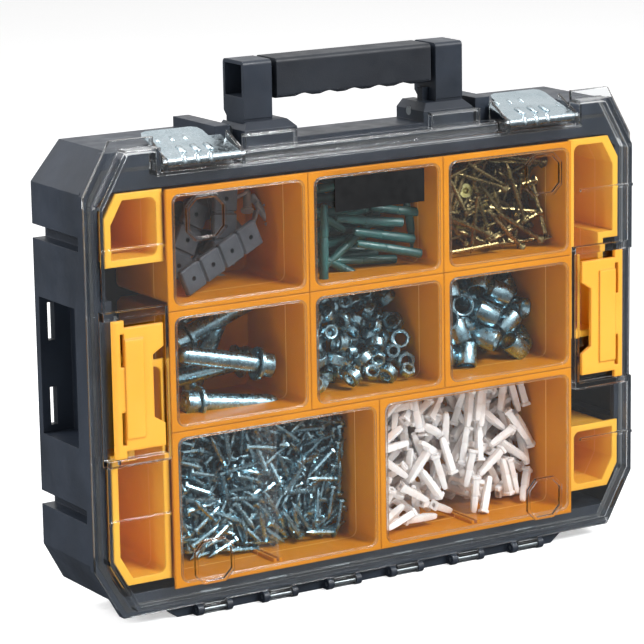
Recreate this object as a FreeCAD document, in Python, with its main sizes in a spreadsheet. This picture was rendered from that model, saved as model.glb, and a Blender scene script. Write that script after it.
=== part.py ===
import FreeCAD, Part
import Sketcher
import os
import re

# A flat parts case that stands on its hinge side: X is the width, -Y the clear lid's front and +Z up.
# Sizes below are in millimetres and are measured from the case datum: the parting plane between
# base and lid (depth 0), the lower edge of the rim (height 0) and the middle of the width (X 0).
SIZES = [
    # The rim that base and lid share
    ("case_width", 440, "rim, side to side"),
    ("case_height", 305, "rim, lower edge to the top edge between the corners"),
    ("corner_rise", 16, "how far the rim's top corners stand above case_height"),
    ("corner_width", 52, "width of a raised top corner"),
    ("chamfer_width", 20, "rim corner cut, across"),
    ("chamfer_height", 35, "rim corner cut, up"),
    ("stand_height", 9, "floor to the rim's lower edge"),
    ("running_gap", 0.3, "gap between lid and base, and between moving faces"),
    ("overrun", 1, "how far a cut runs past the face it opens"),
    # Base shell
    ("base_depth", 72, "parting plane to the back face"),
    ("base_wall", 2.5, "shell wall of the base"),
    ("base_flange", 4, "depth of the base's rim flange"),
    ("base_foot_inset", 12, "base underside above the rim's lower edge"),
    ("base_top_inset", 2, "base rim below the lid's top edge"),
    ("base_corner_x", 14, "lower back corner cut, across"),
    ("base_corner_z", 26, "lower back corner cut, up"),
    ("shoulder_x", 22, "upper back corner cut, across"),
    ("shoulder_z", 26, "upper back corner cut, up"),
    ("shoulder_rise", 8, "base shoulders above case_height"),
    ("deck_rise", 3, "base deck between the handle blocks above case_height"),
    ("deck_front", 9, "depth at which the decks and handle blocks begin"),
    ("groove_depth", 9.5, "side groove, into the side"),
    ("groove_width", 9.5, "side groove, up"),
    ("groove_low", 66, "lower side groove's lower edge"),
    ("groove_high", 249, "upper side groove's lower edge"),
    ("groove_front", 7, "depth at which the grooves begin"),
    ("recess_depth", 23, "side recess, into the side"),
    ("recess_low", 116, "side recess's lower edge"),
    ("recess_high", 210, "side recess's upper edge"),
    ("recess_front", 15, "depth at which the side recess begins"),
    ("recess_rear", 6, "wall behind the side recess"),
    ("window_width", 5, "window through the recess's rear wall, across"),
    ("window_inset", 6, "window in from the side"),
    ("window_length", 26, "window, up"),
    ("window_end", 5, "window from the recess's end"),
    ("foot_height", 3, "stacking foot on the back"),
    ("foot_size", 24, "stacking foot, square"),
    ("ridge_in", 99, "stiffening ridge beside each handle block, inner face"),
    ("ridge_front", 16, "depth at which the ridges and the deck beside them begin"),
    ("ridge_width", 12, "stiffening ridge, across"),
    ("ridge_rise", 15, "stiffening ridge above case_height"),
    # Cups
    ("side_strip", 56.5, "rim to the middle cups, at each side"),
    ("grid_low", 15.5, "rim's lower edge to the middle cups"),
    ("grid_top", 18.5, "middle cups to the rim's top edge"),
    ("large_row", 107.5, "height of the row of large cups"),
    ("side_margin", 13, "rim to the side cups"),
    ("short_cup", 48, "length of a short side cup"),
    ("side_gap", 65, "empty length between the two cups of a side"),
    ("left_lift", 7.5, "left side's long cup above the middle cups' lower edge"),
    ("right_lift", 14.5, "right side's short cup above the middle cups' lower edge"),
    ("side_cut", 9, "width of a side cup's cut outer corner, as steep as the rim's"),
    ("cup_gap", 0.4, "gap between neighbouring cups"),
    ("cup_proud", 8, "cup rims in front of the parting plane"),
    ("side_proud", 4.2, "side cup rims in front of the parting plane"),
    ("cup_wall", 1.6, "cup wall"),
    ("cup_floor", 2, "cup floor"),
    ("cup_rim", 4.6, "width of a cup's rim"),
    ("cup_rim_depth", 2, "thickness of a cup's rim"),
    ("cup_round", 5, "inner corner radius of a cup"),
    ("cup_seat", 0.3, "gap between a cup's floor and the back wall"),
    ("divider_wall", 1.8, "clear divider plate"),
    ("divider_play", 0.2, "play of a divider in its slots"),
    ("divider_drop", 3, "divider below the cup's rim"),
    ("slot_rib", 2.2, "rib beside a divider, across and proud of the wall"),
    # Lid
    ("lid_depth", 13, "parting plane to the lid's front face"),
    ("lid_wall", 2.2, "lid wall"),
    ("lid_flange", 3, "thickness of the lid's rim flange"),
    ("lid_border", 6, "rim edge to the lid's raised front"),
    ("lid_rim", 2.5, "raised front's wall, to the lid's hollow"),
    ("pan_side", 46, "side latch pan, across"),
    ("pan_end", 0.5, "side latch pan beyond the latch's ends"),
    ("pan_depth", 5.5, "side latch pan below the front face"),
    ("pan_floor", 2, "floor of the side latch pan"),
    ("pan_boss", 5, "solid end of the pan that holds the latch pin"),
    ("lip_depth", 8, "lid's top lip, over the base"),
    ("lip_wall", 1.7, "thickness of the top lip"),
    ("hood_in", 54, "hood in front of a handle block, inner side"),
    ("hood_width", 41, "hood, across"),
    ("hood_rise", 9.5, "hood above case_height"),
    ("hood_front", 4, "depth at which the hood begins"),
    ("hood_wall", 1.5, "hood wall"),
    ("stack_x", 136, "stacking rings and feet, from the middle"),
    ("stack_low", 32, "lower stacking rings' centre"),
    ("stack_high", 266, "upper stacking rings' centre"),
    ("ring_size", 30, "stacking ring, outside"),
    ("ring_wall", 2, "stacking ring's wall"),
    ("ring_rise", 2, "stacking ring in front of the lid"),
    ("ring_cut", 7, "cut corners of ring and foot"),
    ("strip_rib", 2, "cross rib on the lid's side strips"),
    ("strip_rib_low", 69, "lower cross rib"),
    ("strip_rib_high", 250, "upper cross rib"),
    ("strip_rib_rise", 1.2, "cross rib in front of the lid"),
    ("seal_inset", 3, "rim edge to the seal"),
    ("seal_width", 2.5, "seal, across"),
    ("seal_depth", 1.3, "seal, into its groove"),
    ("seal_squeeze", 0.25, "seal proud of the parting plane"),
    ("label_half", 36, "bare label plate, middle to end"),
    ("label_low", 258, "label plate's lower edge"),
    ("label_height", 23, "label plate, up"),
    ("label_wall", 0.5, "label plate's thickness"),
    # Lid hinge
    ("hinge_y", 0.5, "hinge axis behind the parting plane"),
    ("knuckle_radius", 4, "base knuckle, outer radius"),
    ("knuckle_width", 4.4, "base knuckle, across"),
    ("hinge_pitch", 51.8, "distance between hinge stations"),
    ("hinge_span", 22.7, "distance between the two knuckles of a station"),
    ("hinge_pin", 1.5, "hinge pin radius"),
    ("pin_play", 0.05, "radial clearance of a turning pin"),
    ("arm_radius", 3.6, "lid hinge arm, outer radius"),
    ("arm_play", 0.4, "gap between an arm and a knuckle"),
    ("rail_half", 167, "hinge rail, middle to end"),
    ("rail_cut", 12, "sloped end of the hinge rail"),
    ("rail_front", 4.8, "depth at which the hinge rail begins"),
    ("rail_depth", 11, "hinge rail, front to back"),
    ("heel_in", 120, "rear standing foot, inner side"),
    ("heel_width", 40, "rear standing foot, across"),
    ("heel_front", 48, "depth at which the rear standing feet begin"),
    ("heel_depth", 20, "rear standing foot, front to back"),
    # Steel latches
    ("latch_in", 108, "steel latch, inner side"),
    ("latch_width", 55, "steel latch, across"),
    ("latch_wall", 1.2, "steel sheet"),
    ("barrel_y", 11, "rolled edge in front of the parting plane"),
    ("barrel_drop", 0.5, "rolled edge's axis below case_height"),
    ("barrel_radius", 3, "rolled edge, outer radius"),
    ("latch_pin", 1.2, "latch pin radius"),
    ("bend_y", 13.7, "depth of the latch's bend"),
    ("bend_rise", 9.8, "latch bend above case_height"),
    ("tab_y", 27.8, "depth of the latch tab's end"),
    ("tab_rise", 14.6, "latch tab's end above case_height"),
    ("tab_inset", 9, "latch tab in from the latch's inner side"),
    ("tab_round", 6, "corner radius of the latch tab"),
    ("tab_step", 1.8, "first step of the cut across that corner"),
    ("cheek_gap", 0.6, "gap between latch and cheek"),
    ("cheek_wall", 2.4, "clear cheek beside a latch"),
    ("cheek_rise", 13, "cheek above case_height"),
    ("catch_y", 20, "depth at which the catch ridge begins"),
    ("catch_depth", 4, "catch ridge, front to back"),
    ("catch_inset", 5, "catch ridge in from the latch's sides"),
    # Handle
    ("block_in", 51, "handle block, inner side"),
    ("block_width", 41, "handle block, across"),
    ("block_rise", 15.5, "handle block above case_height"),
    ("block_cut", 5, "cut edges of a handle block"),
    ("block_back", 43, "depth of a handle block's back"),
    ("handle_half", 88, "handle, middle to end"),
    ("arm_width", 22, "handle arm, across"),
    ("handle_front", 16, "depth of the handle's front face"),
    ("handle_depth", 27, "handle, front to back"),
    ("handle_top", 56, "handle's top above case_height"),
    ("grip_height", 27, "grip, up"),
    ("grip_half", 62, "grip, middle to end"),
    ("grip_fit", 0.3, "gap between grip and frame core"),
    ("core_inset", 6, "frame core in from the handle's faces"),
    ("arm_wall", 2.6, "wall of the hollow handle ends"),
    ("arm_hollow", 17, "hollow of the handle ends, across"),
    ("arm_taper", 4, "arm's cut lower back edge"),
    ("handle_round", 3, "rounding along the handle"),
    ("finger_pitch", 20, "distance between finger grooves"),
    ("finger_radius", 14, "finger groove radius"),
    ("finger_depth", 2, "finger groove depth"),
    ("pivot_y", 28, "depth of the handle's pivot"),
    ("pivot_rise", 9, "handle pivot above case_height"),
    ("hub_radius", 11.5, "handle hub"),
    ("handle_pin", 3, "handle pin radius"),
    ("slot_gap", 0.4, "gap between hub and slot"),
    ("well_drop", 8.5, "handle well's floor below case_height"),
    ("well_side", 2, "handle well beyond the handle's end"),
    ("lug_width", 5, "stop lug on a handle block, across"),
    ("lug_depth", 6, "stop lug, front to back"),
    ("lug_rise", 9, "stop lug above the handle block"),
    ("arm_gap", 1.5, "handle arm above the handle block"),
    # Side latches
    ("plate_edge", 13, "rim to the side latch's hinge edge"),
    ("plate_width", 37, "side latch, across"),
    ("strip_width", 8, "side latch's hinge strip, across"),
    ("plate_low", 112, "side latch's lower end"),
    ("plate_high", 204.5, "side latch's upper end"),
    ("plate_notch", 5, "side latch's step beside the hinge strip"),
    ("waist_depth", 8, "side latch's waisted inner edge"),
    ("waist_length", 42, "length of the waist"),
    ("waist_cut", 5, "sloped ends of the waist"),
    ("plate_wall", 3, "side latch's plate"),
    ("pad_rise", 1.2, "raised panel of the side latch"),
    ("pad_inset", 13, "raised panel from the plate's ends"),
    ("pad_width", 14, "raised panel, across"),
    ("plate_barrel", 2.6, "side latch's barrel radius"),
    ("side_pin", 1.2, "side latch pin radius"),
    ("side_pin_bury", 3, "pin's length in the lid"),
    ("side_pin_reach", 12, "pin's length in the latch"),
    ("plate_slot", 3, "slot in the side latch, across"),
    ("plate_slot_length", 22, "slot in the side latch, up"),
    ("plate_slot_end", 9, "slot from the latch's end"),
]
NAMES = {name for name, value, note in SIZES}
SIDES = {"left": -1, "right": 1}

doc = FreeCAD.newDocument("PartsCase")
sheet = doc.addObject("Spreadsheet::Sheet", "Sizes")
for row, (name, value, note) in enumerate(SIZES, start=1):
    sheet.set("A%d" % row, name)
    sheet.set("B%d" % row, str(value))
    sheet.set("C%d" % row, note)
    sheet.setAlias("B%d" % row, name)
doc.recompute()


def size(name):
    """A driving dimension's value."""
    return float(sheet.get(name))


def bound(formula):
    """A formula over the sheet's names, as the document's expressions read it."""
    return re.sub(r"[a-z_]+", lambda word: "Sizes." + word.group(0)
                  if word.group(0) in NAMES else word.group(0), formula)


# Places that several pieces share, as formulas over the driving dimensions
HALF = "(case_width / 2)"
CORNER = "(%s - corner_width)" % HALF
RIM_TOP = "(case_height + corner_rise)"
SHOULDER = "(case_height + shoulder_rise)"
BASE_RIM = "(case_height - base_top_inset)"
GRID_HALF = "(%s - side_strip)" % HALF
GRID_HIGH = "(case_height - grid_top)"
CUP_BACK = "(base_depth - base_wall - cup_seat)"
HINGE_Z = "(knuckle_radius - stand_height)"
PIVOT_Z = "(case_height + pivot_rise)"
BARREL_Z = "(case_height - barrel_drop)"
PLATE_X = "(%s - plate_edge - plate_barrel)" % HALF
PLATE_Y = "(0 - lid_depth + plate_barrel)"
LATCH_OUT = "(latch_in + latch_width)"
PARTING_Y = "((lid_depth + ring_rise - base_depth - foot_height) / 2)"


def across(side, near, far):
    """The low and high X of a span that lies between near and far on one side of the middle."""
    if SIDES[side] > 0:
        return near, far
    return "0 - (%s)" % far, "0 - (%s)" % near


def rectangle(low_u, high_u, low_v, high_v):
    return [(low_u, low_v), (high_u, low_v), (high_u, high_v), (low_u, high_v)]


def both_halves(right):
    """A closed outline from its right half, listed upwards."""
    return right + [("0 - (%s)" % u, v) for u, v in reversed(right)]


def on_side(side, outline):
    """An outline drawn for the right side, moved to the named side."""
    if SIDES[side] > 0:
        return outline
    return [("0 - (%s)" % u, v) for u, v in reversed(outline)]


def on_both(*outlines):
    """Outlines drawn for the right side, on both sides."""
    return [on_side(side, outline) for side in SIDES for outline in outlines]


def cut_square(u, v, across_size, corner):
    """A square with cut corners, centred on u and v."""
    half = "(%s) / 2" % across_size
    rest = "(%s) / 2 - (%s)" % (across_size, corner)
    turns = [(half, rest, 1, -1), (half, rest, 1, 1), (rest, half, 1, 1), (rest, half, -1, 1),
             (half, rest, -1, 1), (half, rest, -1, -1), (rest, half, -1, -1), (rest, half, 1, -1)]
    signed = {1: "(%s) + %s", -1: "(%s) - (%s)"}
    return [(signed[su] % (u, du), signed[sv] % (v, dv)) for du, dv, su, sv in turns]


# Each drawing plane: its role in a body and the sign of its normal along the model's axis.
# front draws X and Z and looks along +Y, side draws Y and Z, top draws X and Y.
PLANES = {"front": ("XZ_Plane", -1), "side": ("YZ_Plane", 1), "top": ("XY_Plane", 1)}
cuts = []
nodes = {}


def new_body(name):
    """A body of the case, placed at the case datum."""
    body = doc.addObject("PartDesign::Body", name)
    body.Label = name
    body.setExpression("Placement.Base.y", bound(PARTING_Y))
    body.setExpression("Placement.Base.z", bound("stand_height"))
    nodes[name] = body
    return body


def new_sketch(body, view, depth):
    """An empty sketch across the view's axis at a depth."""
    role, sign = PLANES[view]
    plane = [feature for feature in body.Origin.OriginFeatures if feature.Role == role][0]
    sketch = body.newObject("Sketcher::SketchObject", "Sketch")
    sketch.AttachmentSupport = [(plane, "")]
    sketch.MapMode = "FlatFace"
    offset = depth if sign > 0 else "0 - (%s)" % depth
    sketch.setExpression("AttachmentOffset.Base.z", bound(offset))
    return sketch


def hold(sketch, constraints, formulas):
    """Adds constraints and drives the last ones with the formulas."""
    index = sketch.ConstraintCount + len(constraints) - len(formulas)
    sketch.addConstraint(constraints)
    for k, formula in enumerate(formulas):
        sketch.setExpression("Constraints[%d]" % (index + k), bound(formula))


def draw_outline(sketch, outline):
    """Draws a closed outline of straight lines whose points are formulas."""
    first = sketch.GeometryCount
    count = len(outline)
    guess = [FreeCAD.Vector(count * k, k * k, 0) for k in range(count)]
    lines = [Part.LineSegment(guess[k], guess[(k + 1) % count]) for k in range(count)]
    sketch.addGeometry(lines)
    held = []
    formulas = []
    for k in range(count):
        following = first + (k + 1) % count
        held.append(Sketcher.Constraint("Coincident", first + k, 2, following, 1))
    for k, (u, v) in enumerate(outline):
        held.append(Sketcher.Constraint("DistanceX", -1, 1, first + k, 1, guess[k].x))
        held.append(Sketcher.Constraint("DistanceY", -1, 1, first + k, 1, guess[k].y))
        formulas += [u, v]
    hold(sketch, held, formulas)


def draw_circle(sketch, u, v, radius):
    """Draws a circle whose centre and radius are formulas."""
    circle = sketch.addGeometry(Part.Circle(FreeCAD.Vector(), FreeCAD.Vector(0, 0, 1), 1.0))
    held = [Sketcher.Constraint("DistanceX", -1, 1, circle, 3, 0.0),
            Sketcher.Constraint("DistanceY", -1, 1, circle, 3, 0.0),
            Sketcher.Constraint("Radius", circle, 1.0)]
    hold(sketch, held, [u, v, radius])


def extrude(body, kind, view, low, high, outlines=(), rounds=()):
    """A pad or pocket of closed outlines and circles between two depths along the view's axis."""
    adds = kind == "Pad"
    towards_low = (PLANES[view][1] < 0) == adds
    sketch = new_sketch(body, view, high if towards_low else low)
    for outline in outlines:
        draw_outline(sketch, outline)
    for u, v, radius in rounds:
        draw_circle(sketch, u, v, radius)
    feature = body.newObject("PartDesign::" + kind, kind)
    feature.Profile = sketch
    feature.setExpression("Length", bound("(%s) - (%s)" % (high, low)))
    if not adds:
        cuts.append(feature)
    return feature


def pad(body, view, low, high, *outlines, **more):
    return extrude(body, "Pad", view, low, high, outlines, **more)


def cut(body, view, low, high, *outlines, **more):
    return extrude(body, "Pocket", view, low, high, outlines, **more)


def fillet(body, radius, chosen):
    """Rounds the edges of the body that the test picks."""
    doc.recompute()
    base = body.Tip
    edges = ["Edge%d" % k for k, edge in enumerate(base.Shape.Edges, start=1) if chosen(edge)]
    feature = body.newObject("PartDesign::Fillet", "Fillet")
    feature.Base = (base, edges)
    feature.setExpression("Radius", bound(radius))


def runs_along(edge, axis):
    """Whether a straight edge runs along an axis."""
    run = edge.Vertexes[-1].Point - edge.Vertexes[0].Point
    return abs(getattr(run, axis)) > edge.Length - edge.Length / 50


def pin(name, axis, start, length, radius):
    """A round pin along X or Z whose first end is at start, three formulas from the case datum."""
    rod = doc.addObject("Part::Cylinder", name)
    rod.Label = name
    turn = FreeCAD.Rotation(FreeCAD.Vector(0, 1, 0), 90 if axis == "x" else 0)
    rod.Placement = FreeCAD.Placement(FreeCAD.Vector(), turn)
    rod.setExpression("Radius", bound(radius))
    rod.setExpression("Height", bound(length))
    for letter, formula, datum in zip("xyz", start, ("0", PARTING_Y, "stand_height")):
        rod.setExpression("Placement.Base." + letter, bound("%s + (%s)" % (datum, formula)))
    return rod


def group(name, rods):
    """A node of separate like solids."""
    bundle = doc.addObject("Part::Compound", name)
    bundle.Label = name
    bundle.Links = rods
    nodes[name] = bundle


# Rim outlines

def rim_side(inset="0"):
    """The right side of the rim from its lower edge to the cut below the top corner."""
    return [("%s - chamfer_width - (%s)" % (HALF, inset), inset),
            ("%s - (%s)" % (HALF, inset), "chamfer_height + (%s)" % inset),
            ("%s - (%s)" % (HALF, inset), "%s - chamfer_height - (%s)" % (RIM_TOP, inset))]


def cut_at(height, inset="0"):
    """X of the upper corner cut at a height."""
    start = "(%s - chamfer_height - (%s))" % (RIM_TOP, inset)
    return "%s - (%s) - chamfer_width * ((%s) - %s) / chamfer_height" % (HALF, inset, height, start)


def seal_ring(inset):
    top = "case_height - (%s)" % inset
    return both_halves(rim_side(inset) + [(cut_at(top, inset), top)])


# Base shell

WELL = "(case_height - well_drop)"
BLOCK_TOP = "(case_height + block_rise)"
CAVITY_TOP = "(%s - base_wall)" % WELL
BLOCK_OUT = "(block_in + block_width)"
TAB_UNDER = "(case_height + bend_rise + (tab_rise - bend_rise) * (catch_y - bend_y)" \
            " / (tab_y - bend_y) - latch_wall)"


def side_notch(low, high, depth):
    """Points that carry the cavity round a groove or recess in the side."""
    wall = "%s - base_wall" % HALF
    inner = "%s - (%s)" % (wall, depth)
    low = "(%s) - base_wall" % low
    high = "(%s) + base_wall" % high
    return [(wall, low), (inner, low), (inner, high), (wall, high)]


def stations():
    """The middle of each hinge station."""
    return ["(%d * hinge_pitch / 2)" % odd for odd in (-5, -3, -1, 1, 3, 5)]


def build_base():
    base = new_body("base_shell")
    shoulder_edge = (cut_at(SHOULDER), SHOULDER)
    flange = rim_side() + [shoulder_edge, (CORNER, SHOULDER), (CORNER, BASE_RIM)]
    pad(base, "front", "0", "base_flange", both_halves(flange))
    shell = [("%s - base_corner_x" % HALF, "base_foot_inset"),
             (HALF, "base_foot_inset + base_corner_z"),
             (HALF, "%s - shoulder_z" % SHOULDER),
             ("%s - shoulder_x" % HALF, SHOULDER),
             (CORNER, SHOULDER),
             (CORNER, BASE_RIM)]
    pad(base, "front", "base_flange", "base_depth", both_halves(shell))

    # Decks, ridges and handle blocks stand on the top wall
    root = "(%s - overrun)" % BASE_RIM
    blocks = [(BLOCK_OUT, CAVITY_TOP), (BLOCK_OUT, "%s - block_cut" % BLOCK_TOP),
              ("%s - block_cut" % BLOCK_OUT, BLOCK_TOP), ("block_in + block_cut", BLOCK_TOP),
              ("block_in", "%s - block_cut" % BLOCK_TOP), ("block_in", "case_height + deck_rise")]
    pad(base, "front", "deck_front", "block_back", both_halves(blocks))
    into_corner = "%s + overrun" % CORNER
    decks = rectangle("ridge_in", into_corner, root, SHOULDER)
    pad(base, "front", "ridge_front", "base_depth", *on_both(decks))
    ridges = rectangle("ridge_in", "ridge_in + ridge_width", root, "case_height + ridge_rise")
    pad(base, "front", "ridge_front", "base_depth", *on_both(ridges))
    catches = rectangle("latch_in + tab_inset + catch_inset", "%s - catch_inset" % LATCH_OUT,
                        "%s - overrun" % SHOULDER, "%s - running_gap" % TAB_UNDER)
    pad(base, "front", "catch_y", "catch_y + catch_depth", *on_both(catches))

    # The hollow that takes the cups, carried round the side grooves and recesses
    cavity = [("%s - base_corner_x - base_wall" % HALF, "base_foot_inset + base_wall"),
              ("%s - base_wall" % HALF, "base_foot_inset + base_corner_z + base_wall")]
    cavity += side_notch("groove_low", "groove_low + groove_width", "groove_depth")
    cavity += side_notch("recess_low", "recess_high", "recess_depth")
    cavity += side_notch("groove_high", "groove_high + groove_width", "groove_depth")
    cavity += [("%s - base_wall" % HALF, "%s - shoulder_z - base_wall" % SHOULDER),
               ("%s - shoulder_x - base_wall" % HALF, "%s - base_wall" % SHOULDER),
               ("%s + base_wall" % CORNER, "%s - base_wall" % SHOULDER),
               ("%s + base_wall" % CORNER, CAVITY_TOP)]
    inner_back = "base_depth - base_wall"
    cut(base, "front", "base_flange", inner_back, both_halves(cavity))
    mouth_x = "%s - side_margin + cup_gap" % HALF
    mouth_low = "grid_low - cup_gap"
    mouth_high = "%s + cup_gap" % GRID_HIGH
    mouth = [("%s - side_cut" % mouth_x, mouth_low), (mouth_x, "%s + side_cut" % mouth_low),
             (mouth_x, "%s - side_cut" % mouth_high), ("%s - side_cut" % mouth_x, mouth_high)]
    cut(base, "front", "0 - overrun", "base_flange + overrun", both_halves(mouth))
    under_deck = "%s - overrun" % CAVITY_TOP
    cut(base, "front", "deck_front + base_wall", "block_back - base_wall",
        rectangle("base_wall - block_in", "block_in - base_wall",
                  under_deck, "case_height + deck_rise - base_wall"))
    under_shoulder = rectangle("ridge_in + base_wall", "%s + base_wall + overrun" % CORNER,
                               under_deck, "%s - base_wall" % SHOULDER)
    cut(base, "front", "ridge_front + base_wall", inner_back, *on_both(under_shoulder))
    before_recess = rectangle("%s - recess_depth - base_wall - overrun" % HALF,
                              "%s - base_wall" % HALF, "recess_low - base_wall - overrun",
                              "recess_high + base_wall + overrun")
    cut(base, "front", "base_flange", "recess_front - base_wall", *on_both(before_recess))

    # Side grooves, recesses and the windows in the recess's rear wall
    past_side = "%s + overrun" % HALF
    grooves = [rectangle("%s - groove_depth" % HALF, past_side, low, "%s + groove_width" % low)
               for low in ("groove_low", "groove_high")]
    cut(base, "front", "groove_front", "base_depth + overrun", *on_both(*grooves))
    recess = rectangle("%s - recess_depth" % HALF, past_side, "recess_low", "recess_high")
    rear = "(base_depth - recess_rear)"
    cut(base, "front", "recess_front", rear, *on_both(recess))
    lower = "(recess_low + window_end)"
    upper = "(recess_high - window_end)"
    windows = [rectangle("%s - window_inset - window_width" % HALF, "%s - window_inset" % HALF,
                         low, high)
               for low, high in ((lower, "%s + window_length" % lower),
                                 ("%s - window_length" % upper, upper))]
    cut(base, "front", "%s - overrun" % rear, "base_depth + overrun", *on_both(*windows))

    # Well, slots, pin holes and stop lugs of the folding handle
    well_half = "(handle_half + well_side)"
    above = "(%s + overrun)" % BLOCK_TOP
    cut(base, "front", "block_back", "base_depth + overrun",
        rectangle("0 - %s" % well_half, well_half, WELL, above))
    slots = rectangle("handle_half - arm_width - slot_gap", "handle_half + slot_gap", WELL, above)
    cut(base, "front", "pivot_y - hub_radius - slot_gap", "block_back + overrun", *on_both(slots))
    past_block = "(%s + overrun)" % BLOCK_OUT
    cut(base, "side", "0 - %s" % past_block, past_block,
        rounds=[("pivot_y", PIVOT_Z, "handle_pin")])
    slope = [("deck_front - overrun", "%s - block_cut - overrun" % BLOCK_TOP),
             ("deck_front + block_cut + overrun", above), ("deck_front - overrun", above)]
    cut(base, "side", "0 - %s" % past_block, past_block, slope)
    lugs = rectangle("handle_half - arm_width - slot_gap - lug_width",
                     "handle_half - arm_width - slot_gap",
                     "%s - overrun" % BLOCK_TOP, "%s + lug_rise" % BLOCK_TOP)
    pad(base, "front", "pivot_y - lug_depth / 2", "pivot_y + lug_depth / 2", *on_both(lugs))

    # Seal groove in the rim flange
    cut(base, "front", "0 - overrun", "seal_depth",
        seal_ring("seal_inset"), seal_ring("seal_inset + seal_width"))

    # Hinge rail and rear standing feet
    rail_back = "rail_front + rail_depth"
    into_wall = "base_foot_inset + overrun"
    pad(base, "front", "base_flange", rail_back,
        rectangle("0 - rail_half", "rail_half", "0", into_wall))
    rail = [("rail_half - rail_cut", "0 - stand_height"), ("rail_half", "0"),
            ("rail_half", into_wall)]
    pad(base, "front", "rail_front", rail_back, both_halves(rail))
    heels = rectangle("heel_in", "heel_in + heel_width", "0 - stand_height", into_wall)
    pad(base, "front", "heel_front", "heel_front + heel_depth", *on_both(heels))

    # Knuckles: one long barrel and its web, then the gaps between the knuckles
    reach = "(5 * hinge_pitch / 2 + hinge_span / 2 + knuckle_width / 2)"
    pad(base, "side", "0 - " + reach, reach,
        rectangle("hinge_y", "rail_front + overrun", "0 - stand_height", HINGE_Z))
    pad(base, "side", "0 - " + reach, reach, rounds=[("hinge_y", HINGE_Z, "knuckle_radius")])
    floor_z = "0 - stand_height - overrun"
    half_gap = "(hinge_span - knuckle_width) / 2"
    rest = "(hinge_span + knuckle_width) / 2"
    inside = [rectangle("%s - %s" % (middle, half_gap), "%s + %s" % (middle, half_gap),
                        floor_z, "0 - running_gap") for middle in stations()]
    between = [rectangle("%s + %s" % (first, rest), "%s - %s" % (second, rest),
                         floor_z, "0 - running_gap")
               for first, second in zip(stations(), stations()[1:])]
    for gaps in (inside, between):
        cut(base, "front", "hinge_y - knuckle_radius - overrun", "rail_front", *gaps)
    cut(base, "side", "0 - %s - overrun" % reach, "%s + overrun" % reach,
        rounds=[("hinge_y", HINGE_Z, "hinge_pin")])

    # Stacking feet on the back
    feet = [cut_square("stack_x", height, "foot_size", "ring_cut")
            for height in ("stack_low", "stack_high")]
    pad(base, "front", "base_depth - overrun", "base_depth + foot_height", *on_both(*feet))


# Cups

def cell(low_x, high_x, low_z, high_z):
    """A function that gives a square cell's outline at an inset."""
    return lambda k: rectangle("%s + (%s)" % (low_x, k), "%s - (%s)" % (high_x, k),
                               "%s + (%s)" % (low_z, k), "%s - (%s)" % (high_z, k))


SIDE_IN = "(%s + cup_gap)" % GRID_HALF
SIDE_OUT = "(%s - side_margin)" % HALF
SIDE_RISE = "(side_cut * chamfer_height / chamfer_width)"
NARROW_X = "(%s - recess_depth - base_wall - cup_gap)" % HALF
NARROW_LOW = "(recess_low - base_wall - cup_gap)"
NARROW_HIGH = "(recess_high + base_wall + cup_gap)"


def side_cell(side, outer_end, inner_end, narrow_from=None):
    """A side cup's outline: a cut outer corner at outer_end and, if narrow_from is given, a
    narrower stretch from there to inner_end, beside the side recess."""
    up = 1 if "grid_low" in outer_end else -1
    grow, shrink = ("+", "-") if up > 0 else ("-", "+")

    def outline(k):
        points = [("%s + (%s)" % (SIDE_IN, k), "%s %s (%s)" % (outer_end, grow, k)),
                  ("%s - side_cut - (%s)" % (SIDE_OUT, k), "%s %s (%s)" % (outer_end, grow, k)),
                  ("%s - (%s)" % (SIDE_OUT, k),
                   "%s %s %s %s (%s)" % (outer_end, grow, SIDE_RISE, grow, k))]
        last_x = SIDE_OUT
        if narrow_from:
            edge = "%s %s (%s)" % (narrow_from, shrink, k)
            points += [("%s - (%s)" % (SIDE_OUT, k), edge), ("%s - (%s)" % (NARROW_X, k), edge)]
            last_x = NARROW_X
        end = "%s %s (%s)" % (inner_end, shrink, k)
        points += [("%s - (%s)" % (last_x, k), end), ("%s + (%s)" % (SIDE_IN, k), end)]
        return on_side(side, points)
    return outline


def build_cup(name, outline, proud, rounded=lambda edge: True):
    """A cup with a flat rim: its outline function gives the cell at an inset, and rounded picks
    the upright corners to round."""
    cup = new_body(name)
    front = "(0 - %s)" % proud
    pad(cup, "front", front, CUP_BACK, outline("cup_rim - cup_wall"))
    fillet(cup, "3 * cup_wall", lambda edge: runs_along(edge, "y") and rounded(edge))
    pad(cup, "front", front, "%s + cup_rim_depth" % front, outline("0"))
    cut(cup, "front", front, "%s - cup_floor" % CUP_BACK, outline("cup_rim"))
    doc.recompute()
    floor_y = cup.Tip.Shape.BoundBox.YMax - size("cup_floor")
    hair = size("cup_floor") / 4
    fillet(cup, "cup_round", lambda edge: runs_along(edge, "y") and rounded(edge)
           and abs(edge.BoundBox.YMax - floor_y) < hair)
    return cup


def beside_grid(edge):
    """Whether an edge of a side cup is on its inner wall."""
    inner = size("case_width") / 2 - size("side_strip")
    return abs(edge.CenterOfMass.x) < inner + 2 * size("cup_rim")


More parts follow.
